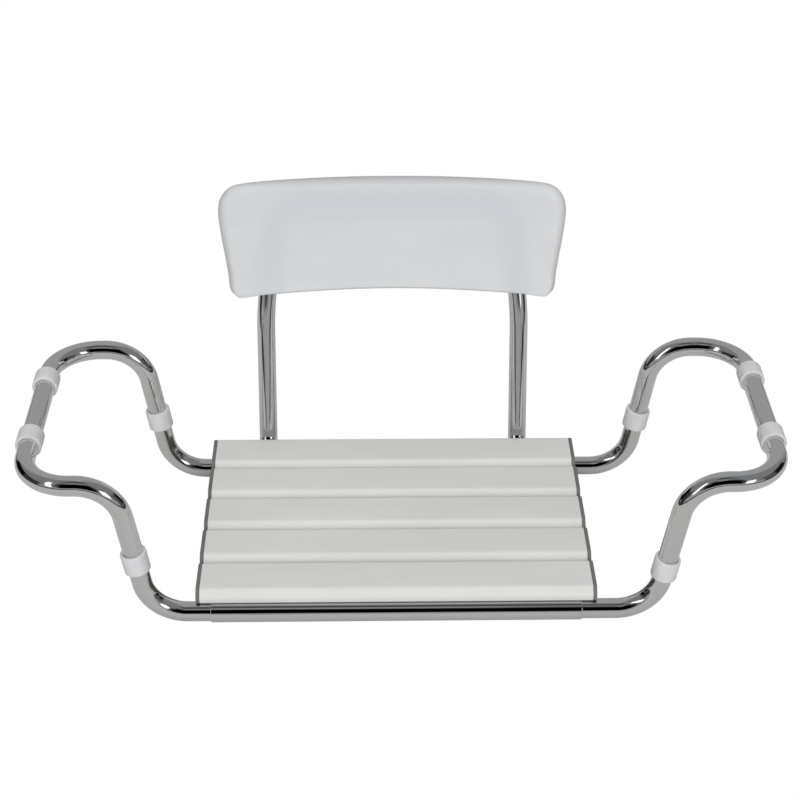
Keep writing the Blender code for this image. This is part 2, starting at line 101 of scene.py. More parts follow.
front_mid, rear_mid = node_mid("Front_sleeve_tube"), node_mid("Rear_sleeve_tube")
SEAT = Vector((front_mid.x, (front_mid.y + rear_mid.y) / 2.0, 0.0))   # middle of the seat
SLEEVE_Y = (rear_mid.y - front_mid.y) / 2.0
SLEEVE_Z = front_mid.z
sleeve_lo, sleeve_hi = node_box("Front_sleeve_tube")
SLEEVE_HALF = (sleeve_hi.x - sleeve_lo.x) / 2.0
SLATS = 5
SLAT_BOXES = [node_box(f"Slat_{i + 1}") for i in range(SLATS)]
SLAT_Y = [(lo.y + hi.y) / 2 - SEAT.y for lo, hi in SLAT_BOXES]
slat_lo, slat_hi = SLAT_BOXES[0]
SEAT_TOP = slat_hi.z
SLAT_HALF = (slat_hi.x - slat_lo.x) / 2.0
SLAT_WIDTH = slat_hi.y - slat_lo.y
SLAT_T = slat_hi.z - slat_lo.z
KINK_Y = UPRIGHT_Y0 + (KINK_Z - SEAT_TOP) * math.tan(UPRIGHT_LEAN)


# ---- mesh helpers ----
def make(name, points, faces, body, nodes, mat, sharp=40.0, uvs=None):
    """A piece from millimetre points about the middle of the seat, riding on a body."""
    mesh = bpy.data.meshes.new(name)
    mesh.from_pydata([(Vector(p) + SEAT) * 0.001 for p in points], [], [tuple(f) for f in faces])
    if uvs is not None:
        layer = mesh.uv_layers.new(name="UVMap")
        for poly, corner_uvs in zip(mesh.polygons, uvs):
            for loop, uv in zip(poly.loop_indices, corner_uvs):
                layer.data[loop].uv = uv
    shape = bmesh.new()
    shape.from_mesh(mesh)
    bmesh.ops.remove_doubles(shape, verts=shape.verts, dist=1e-7)
    bmesh.ops.recalc_face_normals(shape, faces=shape.faces)
    shape.to_mesh(mesh)
    shape.free()
    mesh.shade_smooth()
    mesh.set_sharp_from_angle(angle=math.radians(sharp))
    mesh.materials.append(mat)
    obj = bpy.data.objects.new(name, mesh)
    bpy.context.scene.collection.objects.link(obj)
    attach(obj, body)
    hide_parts(*nodes)
    return obj


def frames(path, normal):
    """(tangent, normal, side) at each point of a path, turned with it and never twisted."""
    out = []
    normal = Vector(normal)
    for i, p in enumerate(path):
        a = (p - path[i - 1]).normalized() if i else (path[1] - p).normalized()
        b = (path[i + 1] - p).normalized() if i + 1 < len(path) else a
        t = (a + b).normalized()
        normal = (normal - t * normal.dot(t)).normalized()
        out.append((t, normal.copy(), t.cross(normal)))
    return out


def ring(centre, axes, radius, sides):
    """Points round a centre, in the plane across the first axis."""
    _, n, s = axes
    turns = [2 * math.pi * (k + 0.5) / sides for k in range(sides)]
    return [centre + n * (radius * math.cos(a)) + s * (radius * math.sin(a)) for a in turns]


def loft(rings, closed_loop=False):
    """Quads between rings of equal length, with (round, along) numbers for each corner."""
    sides = len(rings[0])
    along = [0.0]
    for a, b in zip(rings, rings[1:]):
        along.append(along[-1] + (sum(b, Vector()) / sides - sum(a, Vector()) / sides).length)
    faces, uvs = [], []
    last = len(rings) if closed_loop else len(rings) - 1
    for i in range(last):
        j = (i + 1) % len(rings)
        for k in range(sides):
            m = (k + 1) % sides
            faces.append((i * sides + k, i * sides + m, j * sides + m, j * sides + k))
            u0, u1 = k / sides, (k + 1) / sides
            v0, v1 = along[i] * 0.001, along[j] * 0.001
            uvs.append(((u0, v0), (u1, v0), (u1, v1), (u0, v1)))
    return faces, uvs


def arc(path, normal, radius, angle, steps):
    """Extends a path by an arc that turns towards the normal. Returns the new direction."""
    t = (path[-1] - path[-2]).normalized()
    n = Vector(normal)
    n = (n - t * n.dot(t)).normalized()
    centre = path[-1] + n * radius
    for i in range(1, steps + 1):
        a = angle * i / steps
        path.append(centre - n * (radius * math.cos(a)) + t * (radius * math.sin(a)))
    return t * math.cos(angle) + n * math.sin(angle)


def dense(path, step=14.0):
    """The path with its long straight runs cut into shorter ones."""
    out = [path[0]]
    for a, b in zip(path, path[1:]):
        count = max(1, round((b - a).length / step))
        out += [a.lerp(b, (i + 1) / count) for i in range(count)]
    return out


def tube(name, path, outer, bore, body, node, mat, edge=0.35, shape_ends=None):
    """A hollow tube with slightly rounded rims along a path."""
    path = dense(path)
    axes = frames(path, (0, 0, 1))
    wall = outer - bore
    edge = min(edge, wall / 2.2)
    rings = []
    first, last = axes[0], axes[-1]
    steps = [(0.0, wall / 2 - edge), (edge * 0.3, wall / 2 - edge * 0.3), (edge, wall / 2),
             (edge + RIM_SUPPORT, wall / 2)]
    middle = (outer + bore) / 2
    for depth, reach in steps:
        rings.append(ring(path[0] + first[0] * depth, first, middle + reach, SIDES))
    for p, ax in list(zip(path, axes))[1:-1]:
        rings.append(ring(p, ax, outer, SIDES))
    for depth, reach in reversed(steps):
        rings.append(ring(path[-1] - last[0] * depth, last, middle + reach, SIDES))
    for depth, reach in steps:
        rings.append(ring(path[-1] - last[0] * depth, last, middle - reach, SIDES))
    for p, ax in reversed(list(zip(path, axes))[1:-1]):
        rings.append(ring(p, ax, bore, SIDES))
    for depth, reach in reversed(steps):
        rings.append(ring(path[0] + first[0] * depth, first, middle - reach, SIDES))
    if shape_ends:
        shape_ends(rings)
    faces, uvs = loft(rings, closed_loop=True)
    points = [p for r in rings for p in r]
    make(name, points, faces, body, [node], mat, uvs=uvs)


def lathe(centre, axis, normal, profile, sides=SIDES):
    """A ring or a solid turned about an axis. A radius of 0 closes an end."""
    axis = Vector(axis).normalized()
    normal = Vector(normal)
    normal = (normal - axis * normal.dot(axis)).normalized()
    axes = (axis, normal, axis.cross(normal))
    centre = Vector(centre)
    hollow = profile[0][1] > 0
    rings = [ring(centre + axis * a, axes, r, sides) for a, r in profile if r > 0]
    points = [p for r in rings for p in r]
    faces, _ = loft(rings, closed_loop=hollow)
    if not hollow:
        faces.append(tuple(range(sides)))
        faces.append(tuple(range(len(points) - sides, len(points))))
    return points, faces


def belt(a, b, count):
    """Quads between two loops of points that start at numbers a and b."""
    return [(a + k, a + (k + 1) % count, b + (k + 1) % count, b + k) for k in range(count)]


def round_corner(profile, index, radius, steps=5):
    """Replaces one corner of a lathe profile by a short curve."""
    a, c, b = (Vector(profile[i]) for i in (index - 1, index, index + 1))
    p = c + (a - c).normalized() * radius
    q = c + (b - c).normalized() * radius
    curve = [tuple(p * (1 - u) ** 2 + c * 2 * u * (1 - u) + q * u ** 2)
             for u in (k / steps for k in range(steps + 1))]
    return profile[:index] + curve + profile[index + 1:]


def rounded(corners, radius, steps):
    """A closed outline with each corner replaced by a short curve."""
    out = []
    for i, c in enumerate(corners):
        c = Vector(c)
        a = Vector(corners[i - 1]) - c
        b = Vector(corners[(i + 1) % len(corners)]) - c
        reach = min(radius, a.length * 0.45, b.length * 0.45)
        p, q = c + a.normalized() * reach, c + b.normalized() * reach
        for k in range(steps + 1):
            u = k / steps
            out.append(p * (1 - u) ** 2 + c * (2 * u * (1 - u)) + q * u ** 2)
    return out


def fill(loops, starts):
    """Triangles that fill an outline with holes. starts holds each loop's first point number."""
    numbers = [starts[i] + k for i, loop in enumerate(loops) for k in range(len(loop))]
    tris = tessellate_polygon([[Vector((p.x, p.y, 0)) for p in loop] for loop in loops])
    return [tuple(numbers[i] for i in tri) for tri in tris]


def carve(obj, tool_mesh, crossing=False):
    """Cuts a mesh out of a piece for good. crossing is for a tool that cuts through itself."""
    tool = bpy.data.objects.new("tool", tool_mesh)
    bpy.context.scene.collection.objects.link(tool)
    mod = obj.modifiers.new("carve", "BOOLEAN")
    mod.object, mod.operation, mod.solver = tool, "DIFFERENCE", "EXACT"
    mod.use_self = crossing
    graph = bpy.context.evaluated_depsgraph_get()
    graph.update()
    carved = bpy.data.meshes.new_from_object(obj.evaluated_get(graph))
    obj.modifiers.clear()
    obj.data = carved
    bpy.data.objects.remove(tool, do_unlink=True)


# ---- shader helpers ----
class Nodes:
    """Adds nodes to a node tree and links them."""

    def __init__(self, tree):
        self.tree = tree

    def node(self, kind, **settings):
        made = self.tree.nodes.new(kind)
        for key, value in settings.items():
            setattr(made, key, value)
        return made

    def link(self, a, b):
        self.tree.links.new(a, b)

    def remap(self, value, low, high, out_low, out_high):
        made = self.node("ShaderNodeMapRange", interpolation_type="SMOOTHSTEP")
        for key, number in zip(("From Min", "From Max", "To Min", "To Max"),
                               (low, high, out_low, out_high)):
            made.inputs[key].default_value = number
        self.link(value, made.inputs["Value"])
        return made.outputs["Result"]

    def math(self, operation, *values):
        made = self.node("ShaderNodeMath", operation=operation)
        for socket, value in zip(made.inputs, values):
            if isinstance(value, (int, float)):
                socket.default_value = value
            else:
                self.link(value, socket)
        return made.outputs[0]


class Shader(Nodes):
    """Builds one Principled material node by node."""

    def __init__(self, name):
        self.mat = bpy.data.materials.new(name)
        self.mat.use_nodes = True
        super().__init__(self.mat.node_tree)
        self.bsdf = self.tree.nodes["Principled BSDF"]
        self.coord = self.node("ShaderNodeTexCoord")

    def set(self, **values):
        for key, value in values.items():
            self.bsdf.inputs[key.replace("_", " ")].default_value = value

    def stretched(self, scale, source="Object"):
        mapping = self.node("ShaderNodeMapping")
        mapping.inputs["Scale"].default_value = scale
        self.link(self.coord.outputs[source], mapping.inputs["Vector"])
        return mapping.outputs["Vector"]

    def noise(self, vector, detail, rough):
        made = self.node("ShaderNodeTexNoise")
        made.inputs["Scale"].default_value = 1.0
        made.inputs["Detail"].default_value = detail
        made.inputs["Roughness"].default_value = rough
        self.link(vector, made.inputs["Vector"])
        return made.outputs["Fac"]

    def mix(self, factor, a, b):
        """Colour mix. a and b are colours or sockets."""
        made = self.node("ShaderNodeMix", data_type="RGBA")
        if isinstance(factor, float):
            made.inputs["Factor"].default_value = factor
        else:
            self.link(factor, made.inputs["Factor"])
        for key, value in (("A", a), ("B", b)):
            socket = next(s for s in made.inputs if s.name == key and s.type == "RGBA")
            if isinstance(value, tuple):
                socket.default_value = (*value, 1.0)
            else:
                self.link(value, socket)
        return next(s for s in made.outputs if s.type == "RGBA")

    def bump(self, height, distance, strength=1.0, below=None):
        made = self.node("ShaderNodeBump")
        made.inputs["Strength"].default_value = strength
        made.inputs["Distance"].default_value = distance
        self.link(height, made.inputs["Height"])
        if below is not None:
            self.link(below, made.inputs["Normal"])
        return made.outputs["Normal"]

    def colour(self, socket):
        self.link(socket, self.bsdf.inputs["Base Color"])

    def rough(self, socket):
        self.link(socket, self.bsdf.inputs["Roughness"])

    def normal(self, socket):
        self.link(socket, self.bsdf.inputs["Normal"])


def chrome(name):
    """Chromed tube: near mirror, with faint drawing lines, slight waviness and a thin haze."""
    s = Shader(name)
    tint = (0.70, 0.70, 0.695)
    s.set(Metallic=1.0)
    drawn = s.noise(s.stretched((26.0, 1.6, 1.0), "UV"), 2.0, 0.55)
    hair = s.noise(s.stretched((190.0, 3.0, 1.0), "UV"), 2.0, 0.6)
    haze = s.noise(s.stretched((9.0, 9.0, 9.0)), 4.0, 0.6)
    base = s.mix(s.remap(haze, 0.35, 0.75, 0.0, 1.0), tint, tuple(c * 0.95 for c in tint))
    s.colour(s.mix(s.remap(drawn, 0.35, 0.65, 0.0, 1.0), base, tuple(c * 0.94 for c in tint)))
    s.rough(s.remap(haze, 0.3, 0.8, 0.02, 0.055))
    low = s.bump(drawn, 0.00012, 0.5)
    s.normal(s.bump(hair, 0.000012, 0.5, low))
    return s.mat


def zinc(name):
    """Zinc-plated screw: duller, with a fine mottle."""
    s = Shader(name)
    s.set(Metallic=1.0)
    mottle = s.noise(s.stretched((900.0, 900.0, 900.0)), 3.0, 0.6)
    s.colour(s.mix(mottle, (0.52, 0.53, 0.55), (0.68, 0.68, 0.69)))
    s.rough(s.remap(mottle, 0.2, 0.8, 0.25, 0.42))
    s.normal(s.bump(mottle, 0.00003, 0.4))
    return s.mat


def slat_plastic(name, spread):
    """Extruded white plastic: fine lines along the slat, a cloudy tone that differs from slat to
    slat by its spread, and a soft sheen."""
    s = Shader(name)
    lines = s.noise(s.stretched((2.0, 1500.0, 1500.0)), 2.0, 0.6)
    broad = s.noise(s.stretched((1.5, 160.0, 40.0)), 2.0, 0.5)
    cloud = s.noise(s.stretched((7.0, 18.0 + spread, 12.0)), 3.0, 0.55)
    base = s.mix(s.remap(cloud, 0.3, 0.7, 0.0, 1.0), (0.70, 0.695, 0.68), (0.66, 0.655, 0.64))
    base = s.mix(s.remap(lines, 0.35, 0.75, 0.0, 0.35), base, (0.63, 0.625, 0.61))
    s.colour(base)
    s.rough(s.remap(broad, 0.3, 0.7, 0.36, 0.5))
    low = s.bump(broad, 0.0001, 0.5)
    s.normal(s.bump(lines, 0.00002, 0.5, low))
    s.set(IOR=1.48)
    return s.mat


def cap_plastic(name):
    """Dark grey moulded plastic with a fine spark texture, lighter where its grain is high."""
    s = Shader(name)
    grain = s.noise(s.stretched((1400.0, 1400.0, 1400.0)), 2.0, 0.6)
    cloud = s.noise(s.stretched((40.0, 40.0, 40.0)), 3.0, 0.6)
    base = s.mix(s.remap(cloud, 0.3, 0.7, 0.0, 1.0), (0.135, 0.135, 0.118), (0.165, 0.165, 0.148))
    s.colour(s.mix(s.remap(grain, 0.45, 0.8, 0.0, 0.4), base, (0.21, 0.21, 0.19)))
    s.rough(s.remap(grain, 0.2, 0.8, 0.42, 0.6))
    s.normal(s.bump(grain, 0.00004, 0.5))
    return s.mat


def collar_plastic(name):
    """White flexible plastic: matt, grained and faintly cloudy."""
    s = Shader(name)
    grain = s.noise(s.stretched((700.0, 700.0, 700.0)), 3.0, 0.6)
    cloud = s.noise(s.stretched((60.0, 60.0, 60.0)), 3.0, 0.6)
    s.colour(s.mix(s.remap(cloud, 0.3, 0.75, 0.0, 1.0), (0.685, 0.68, 0.70), (0.62, 0.615, 0.635)))
    s.rough(s.remap(grain, 0.2, 0.8, 0.42, 0.56))
    s.normal(s.bump(grain, 0.00005, 0.4))
    s.set(Subsurface_Weight=0.15, Subsurface_Scale=0.003, Subsurface_Radius=(1.0, 0.9, 0.8))
    return s.mat


def pad_plastic(name):
    """Milky moulded plastic. Painted shade: a soft bluish shade where the tube lies inside it, and
    a darker top rim that stands in for the top facing away from the front light.
    """
    s = Shader(name)
    near = s.node("ShaderNodeAttribute", attribute_name="painted_tube_shade").outputs["Fac"]
    cloud = s.noise(s.stretched((9.0, 9.0, 16.0)), 3.0, 0.5)
    flow = s.noise(s.stretched((3.0, 40.0, 150.0)), 2.0, 0.5)
    grain = s.noise(s.stretched((1100.0, 1100.0, 1100.0)), 2.0, 0.5)
    base = s.mix(s.remap(cloud, 0.3, 0.7, 0.0, 1.0), (0.665, 0.675, 0.685), (0.635, 0.648, 0.665))
    base = s.mix(s.remap(flow, 0.45, 0.75, 0.0, 0.3), base, (0.60, 0.62, 0.64))
    # painted shade of the tube inside the pad, bluish and soft
    base = s.mix(near, base, (0.595, 0.622, 0.655))
    # painted shade: the top rim darker, as it faces away from the front light
    rim = s.node("ShaderNodeAttribute", attribute_name="painted_top_shade").outputs["Fac"]
    s.colour(s.mix(rim, base, (0.50, 0.505, 0.515)))
    s.rough(s.remap(cloud, 0.3, 0.7, 0.40, 0.5))
    s.normal(s.bump(grain, 0.00003, 0.4))
    s.set(Subsurface_Weight=0.2, Subsurface_Scale=0.006, Subsurface_Radius=(1.0, 1.0, 1.0))
    return s.mat


# ---- sleeves, arms and collars ----
def sleeves():
    mat = chrome("sleeve_chrome")
    for end, y in (("front", -SLEEVE_Y), ("rear", SLEEVE_Y)):
        path = [Vector((-SLEEVE_HALF, y, SLEEVE_Z)), Vector((SLEEVE_HALF, y, SLEEVE_Z))]
        tube(f"{end}_sleeve", path, SLEEVE_R, SLEEVE_BORE, "seat",
             f"{end.title()}_sleeve_tube", mat, edge=0.3)


def arm_path(side):
    """Centre line from the end inside the front sleeve to the end inside the rear sleeve."""
    s = -1.0 if side == "Left" else 1.0
    lo, hi = node_box(f"{side}_arm_tube")
    rail_x = (hi.x if s > 0 else -lo.x) - TUBE_R + (-SEAT.x if s > 0 else SEAT.x)
    bend = 0.0
    # the first round measures how far the rail is from the foot bend, and the second is shifted
    for _ in range(2):
        path = [Vector((s * (bend - ARM_BASE), 0, SLEEVE_Z)), Vector((s * bend, 0, SLEEVE_Z))]
        t = arc(path, (0, 0, 1), FOOT_BEND_R, math.pi / 2 - LEG_LEAN, 26)
        path.append(path[-1] + t * LEG_LENGTH)
        t = arc(path, (s, 0, -0.2), FOOT_BEND_R, math.pi / 2 - LEG_LEAN, 26)
        path.append(path[-1] + t * ARM_REACH)
        arc(path, (0, 1, 0), RIM_BEND_R, math.pi / 2, 30)
        bend += rail_x - abs(path[-1].x)
    half = [Vector((p.x, p.y - SLEEVE_Y, p.z)) for p in path]
    return half + [Vector((p.x, -p.y, p.z)) for p in reversed(half)]


def arms():
    for side in ("Left", "Right"):
        mat = chrome(f"{side.lower()}_arm_chrome")
        tube(f"{side.lower()}_arm", arm_path(side), TUBE_R, TUBE_BORE, f"{side.lower()}_arm",
             f"{side}_arm_tube", mat)


def collars():
    mat = collar_plastic("collar_plastic")
    r, b, h = COLLAR_R, COLLAR_BORE, COLLAR_HALF
    cut = COLLAR_CUT
    profile = [(-h + cut, b), (-h, b + cut), (-h, r), (h, r), (h, b + cut), (h - cut, b)]
    profile = round_corner(profile, 3, COLLAR_ROUND)
    profile = round_corner(profile, 2, COLLAR_ROUND)
    for side, s in (("Left", -1.0), ("Right", 1.0)):
        lean = Vector((s * math.sin(LEG_LEAN), 0, math.cos(LEG_LEAN)))
        for end in ("front", "rear"):
            for place, axis in (("leg", lean), ("rail", Vector((0, 1, 0)))):
                node = f"{side}_{end}_{place}_collar"
                centre = node_mid(node) - SEAT
                points, faces = lathe(centre, axis, (s, 0, 0.3), profile)
                make(f"{side.lower()}_{end}_{place}_grip_collar", points, faces,
                     f"{side.lower()}_arm", [node], mat)


# ---- seat ----
def slat_outline():
    """Outline of a slat in (Y, Z) about its middle, Z = 0 at its top face."""
    w, c, t = SLAT_WIDTH / 2, SLAT_CHAMFER, SLAT_T
    corners = [(-w, -t), (w, -t), (w, -c), (w - c, 0), (-(w - c), 0), (-w, -c)]
    return rounded(corners, SLAT_ROUND, 8)


def slat_cells(shrink=0.0):
    """The two hollow cells of a slat, as outlines in (Y, Z)."""
    g = SLAT_WALL + shrink
    w, c, t = SLAT_WIDTH / 2 - g, SLAT_CHAMFER, SLAT_T
    rib = SLAT_RIB / 2 + shrink
    right = [(rib, -t + g), (w, -t + g), (w, -c - 0.4 * g), (w - c + 0.6 * g, -g), (rib, -g)]
    left = [(-y, z) for y, z in reversed(right)]
    return [[Vector(p) for p in left], [Vector(p) for p in right]]


def slats():
    for i, y0 in enumerate(SLAT_Y):
        loops = [slat_outline()] + slat_cells()
        points, faces, starts = [], [], []
        stations = (-SLAT_HALF, -SLAT_HALF / 3, SLAT_HALF / 3, SLAT_HALF)
        for x in stations:
            start = []
            for loop in loops:
                start.append(len(points))
                points += [Vector((x, y0 + p.x, SEAT_TOP + p.y)) for p in loop]
            starts.append(start)
        for here, there in zip(starts, starts[1:]):
            for loop, a, b in zip(loops, here, there):
                faces += belt(a, b, len(loop))
        faces += fill(loops, starts[0]) + fill(loops, starts[-1])
        make(f"seat_slat_{i + 1}", points, faces, "seat", [f"Slat_{i + 1}"],
             slat_plastic(f"slat_plastic_{i + 1}", 2.0 * i), sharp=50.0)


def slat_caps():
    mat = cap_plastic("cap_plastic")
    outline = slat_outline()
    mid = Vector((0.0, -SLAT_T / 2))
    n = len(outline)
    for i, y0 in enumerate(SLAT_Y):
        for side, s in (("left", -1.0), ("right", 1.0)):
            inner = SLAT_HALF + CAP_GAP
            steps = [(inner, CAP_CUT), (inner + CAP_CUT, 0.0)]
            for k in range(6):
                a = math.pi / 2 * k / 5
                steps.append((SLAT_HALF + CAP_T - CAP_ROUND * (1.0 - math.sin(a)),
                              CAP_ROUND * (1.0 - math.cos(a))))
            points, faces = [], []
            for x, inset in steps:
                points += [Vector((s * x, y0 + q.x, SEAT_TOP + q.y)) for q in
                           (p + (mid - p).normalized() * inset for p in outline)]
            for k in range(len(steps) - 1):
                faces += belt(k * n, (k + 1) * n, n)
            faces += fill([outline], [(len(steps) - 1) * n])
            cells = slat_cells(PLUG_GAP)
            starts = [0]
            for loop in cells:
                starts.append(len(points))
                points += [Vector((s * inner, y0 + p.x, SEAT_TOP + p.y)) for p in loop]
            faces += fill([outline] + cells, starts)
            for loop, b in zip(cells, starts[1:]):
                tip = len(points)
                points += [Vector((s * (SLAT_HALF - CAP_PLUG), y0 + p.x, SEAT_TOP + p.y))
                           for p in loop]
                faces += belt(b, tip, len(loop))
                faces += fill([loop], [tip])
            make(f"slat_{i + 1}_{side}_end_cap", points, faces, "seat",
                 [f"Slat_{i + 1}_{side}_cap"], mat, sharp=50.0)


def saddle_depth(p):
    """How far a saddle cut round a sleeve reaches from the sleeve's middle, at a point's height."""
    return math.sqrt(max(SADDLE_R ** 2 - (p.z - SLEEVE_Z) ** 2, 0.0))


def bearers():
    mat = chrome("bearer_chrome")

    def saddle(rings):
        for p in (p for r in rings for p in r):
            limit = SLEEVE_Y - saddle_depth(p)
            if abs(p.y) > limit - 2.0:
                p.y = math.copysign(limit, p.y)

    for side in ("Left", "Right"):
        mid = node_mid(f"{side}_bearer_tube") - SEAT
        path = [Vector((mid.x, -SLEEVE_Y, mid.z)), Vector((mid.x, SLEEVE_Y, mid.z))]
        tube(f"{side.lower()}_bearer", path, BEARER_R, TUBE_BORE, "seat",
             f"{side}_bearer_tube", mat, shape_ends=saddle)


def cross_recess(obj, top, axis, size, depth):
    """Cuts a cross into a screw head."""
    axis = Vector(axis).normalized()
    side = axis.orthogonal().normalized()
    turn = Matrix((side, axis.cross(side), axis)).transposed()
    shape = bmesh.new()
    arm = size * 0.24
    for a, b in ((size, arm), (arm, size)):
        for v in bmesh.ops.create_cube(shape, size=1.0)["verts"]:
            v.co = turn @ Vector((v.co.x * a * 2, v.co.y * b * 2, v.co.z * depth * 2))
            v.co = (v.co + Vector(top) + SEAT) * 0.001
    mesh = bpy.data.meshes.new("recess")
    shape.to_mesh(mesh)
    shape.free()
    carve(obj, mesh, crossing=True)


def screw(name, node, seat, axis, length, head_r, mat):
    """Pan-head screw whose head rests on seat and whose shank runs along axis."""
    head_h = SCREW_HEAD_H
    profile = [(-head_h, 0.0)]
    for k in range(1, 9):
        a = math.pi / 2 * k / 8
        profile.append((-head_h * math.cos(a) ** 0.8 - 0.15, head_r * math.sin(a)))
    profile += [(-0.12, head_r), (-0.12, SCREW_R)]
    depth = 1.0
    while depth < length - 3.0:
        profile += [(depth, SCREW_R), (depth + SCREW_PITCH * 0.5, SCREW_R * 0.84)]
        depth += SCREW_PITCH
    profile += [(length - 1.5, SCREW_R * 0.9), (length, SCREW_R * 0.35), (length, 0.0)]
    points, faces = lathe(seat, axis, (1, 0, 0) if abs(axis[0]) < 0.5 else (0, 0, 1),
                          profile, 32)
    obj = make(name, points, faces, "seat", [node], mat)
    cross_recess(obj, Vector(seat) - Vector(axis) * head_h, axis, head_r * 0.55, head_h * 0.55)


def screws():
    mat = zinc("screw_zinc")
    for i in range(SLATS):
        for side in ("left", "right"):
            node = f"Slat_{i + 1}_{side}_screw"
            lo, hi = node_box(node)
            mid = (lo + hi) / 2 - SEAT
            seat = Vector((mid.x, mid.y, lo.z + SLAT_SCREW_HEAD))
            screw(f"slat_{i + 1}_{side}_fixing_screw", node, seat, (0, 0, 1),
                  hi.z - seat.z, 4.1, mat)
    for side, s in (("left", -1.0), ("right", 1.0)):
        seat, axis = pad_screw(s)
        screw(f"backrest_{side}_fixing_screw", f"Backrest_{side}_screw", seat - axis * 0.35, axis,
              9.5, 4.5, mat)


def locks():
    mat = zinc("lock_zinc")
    for end, sy in (("Front", -1.0), ("Rear", 1.0)):
        for side in ("left", "right"):
            lo, hi = node_box(f"{end}_{side}_lock_nut")
            mid = (lo + hi) / 2 - SEAT
            axis = (0, -sy, 0)
            half, bore, flat = (hi.y - lo.y) / 2, 2.95, 6.0
            profile = [(-half, bore), (-half, flat), (half - 0.5, flat), (half, flat - 0.5),
                       (half, bore)]
            points, faces = lathe(mid, axis, (0, 0, 1), profile, 6)
            make(f"{end.lower()}_{side}_welded_nut", points, faces, "seat",
                 [f"{end}_{side}_lock_nut"], mat, sharp=25.0)
            centre = Vector((mid.x, sy * SLEEVE_Y, SLEEVE_Z))
            base = SLEEVE_R + LOCK_NUT_T + 0.1
            tip, shank, head = TUBE_R + 0.3, 2.4, 5.4
            profile = [(tip, 0.0), (tip, shank - 0.4), (tip + 0.6, shank), (base, shank),
                       (base, head), (base + 3.2, head), (base + 3.8, head - 0.6),
                       (base + 3.8, 0.0)]
            points, faces = lathe(centre, axis, (0, 0, 1), profile, 6)
            make(f"{end.lower()}_{side}_locking_bolt", points, faces, "seat",
                 [f"{end}_{side}_lock_bolt"], mat, sharp=25.0)


# ---- backrest ----
def back_point(x, w, d):
    """Point of the reclined, bowed backrest: w up along it from the kink, d behind its middle."""
    bow = BACK_BOW * (1.0 - (x / UPRIGHT_X) ** 2)
    slope = -2.0 * BACK_BOW * x / UPRIGHT_X ** 2
    across = Vector((1.0, slope)).normalized()
    out = bow + d * across.x
    y = KINK_Y + w * math.sin(RECLINE) + out * math.cos(RECLINE)
    z = KINK_Z + w * math.cos(RECLINE) - out * math.sin(RECLINE)
    return Vector((x - d * across.y, y, z))


def frame_half():
    """Centre line of the left half of the backrest frame, from the rear sleeve to the top."""
    x = -UPRIGHT_X
    foot_y = UPRIGHT_Y0 - (SEAT_TOP - SLEEVE_Z) * math.tan(UPRIGHT_LEAN)
    turn = math.pi / 2 - UPRIGHT_LEAN
    reach = UPRIGHT_FOOT_R * math.tan(turn / 2)
    path = [Vector((x, SLEEVE_Y + SADDLE_R, SLEEVE_Z)),
            Vector((x, foot_y - reach, SLEEVE_Z))]
    arc(path, (0, 0, 1), UPRIGHT_FOOT_R, turn, 20)
    up = Vector((0, math.sin(UPRIGHT_LEAN), math.cos(UPRIGHT_LEAN)))
    kink = Vector((x, KINK_Y, KINK_Z))

    def leg(w):
        return back_point(-(UPRIGHT_X - w * math.tan(LEG_TAPER)), w, 0)

    start, end = kink - up * KINK_BLEND, leg(KINK_BLEND)
    for k in range(13):
        u = k / 12
        path.append(start * (1 - u) ** 2 + leg(0.0) * (2 * u * (1 - u)) + end * u ** 2)
    corner_x = UPRIGHT_X - (FRAME_TOP_W - FRAME_CORNER_R) * math.tan(LEG_TAPER)
    r = FRAME_CORNER_R
    top = FRAME_TOP_W - r
    path += [leg(KINK_BLEND + (top - KINK_BLEND) * k / 8) for k in range(1, 8)]
    for k in range(25):
        a = (math.pi / 2) * k / 24
        path.append(back_point(-corner_x + r - r * math.cos(a), top + r * math.sin(a), 0))
    path += [back_point((-corner_x + r) * t / 8, FRAME_TOP_W, 0) for t in range(7, 0, -1)]
    return path


def backrest_frame():
    half = frame_half()
    path = half + [back_point(0, FRAME_TOP_W, 0)]
    path += [Vector((-p.x, p.y, p.z)) for p in reversed(half)]

    def saddle(rings):
        for p in (p for r in rings for p in r):
            if p.z < 2 * SLEEVE_Z + 2 and p.y < SLEEVE_Y + SADDLE_R + 1.0:
                p.y = SLEEVE_Y + saddle_depth(p)

    tube("backrest_frame", path, TUBE_R, TUBE_BORE, "seat", "Backrest_frame_tube",
         chrome("backrest_chrome"), shape_ends=saddle)
    return path


def pad_screw(s):
    """Where a screw head rests on the back of the pad, and the way its shank runs."""
    x = s * (UPRIGHT_X - PAD_SCREW_W * math.tan(LEG_TAPER))
    seat = back_point(x, PAD_SCREW_W, PAD_T / 2)
    return seat, (back_point(x, PAD_SCREW_W, 0) - seat).normalized()


def smooth_curve(points, count):
    """Evenly spaced points on a smooth curve through the given ones."""
    pts = [Vector(points[0]) * 2 - Vector(points[1])] + [Vector(p) for p in points]
    pts.append(Vector(points[-1]) * 2 - Vector(points[-2]))
    fine = []
    for i in range(1, len(pts) - 2):
        p0, p1, p2, p3 = pts[i - 1:i + 3]
        for k in range(12):
            u = k / 12
            fine.append(0.5 * (2 * p1 + (p2 - p0) * u + (2 * p0 - 5 * p1 + 4 * p2 - p3) * u ** 2
                               + (3 * p1 - p0 - 3 * p2 + p3) * u ** 3))
    fine.append(pts[-2])
    lengths = [0.0]
    for a, b in zip(fine, fine[1:]):
        lengths.append(lengths[-1] + (b - a).length)
    out = []
    for i in range(count):
        goal = lengths[-1] * i / (count - 1)
        j = next((j for j in range(1, len(lengths)) if lengths[j] >= goal - 1e-9), len(fine) - 1)
        u = (goal - lengths[j - 1]) / max(lengths[j] - lengths[j - 1], 1e-9)
        out.append(fine[j - 1].lerp(fine[j], u))
    return out


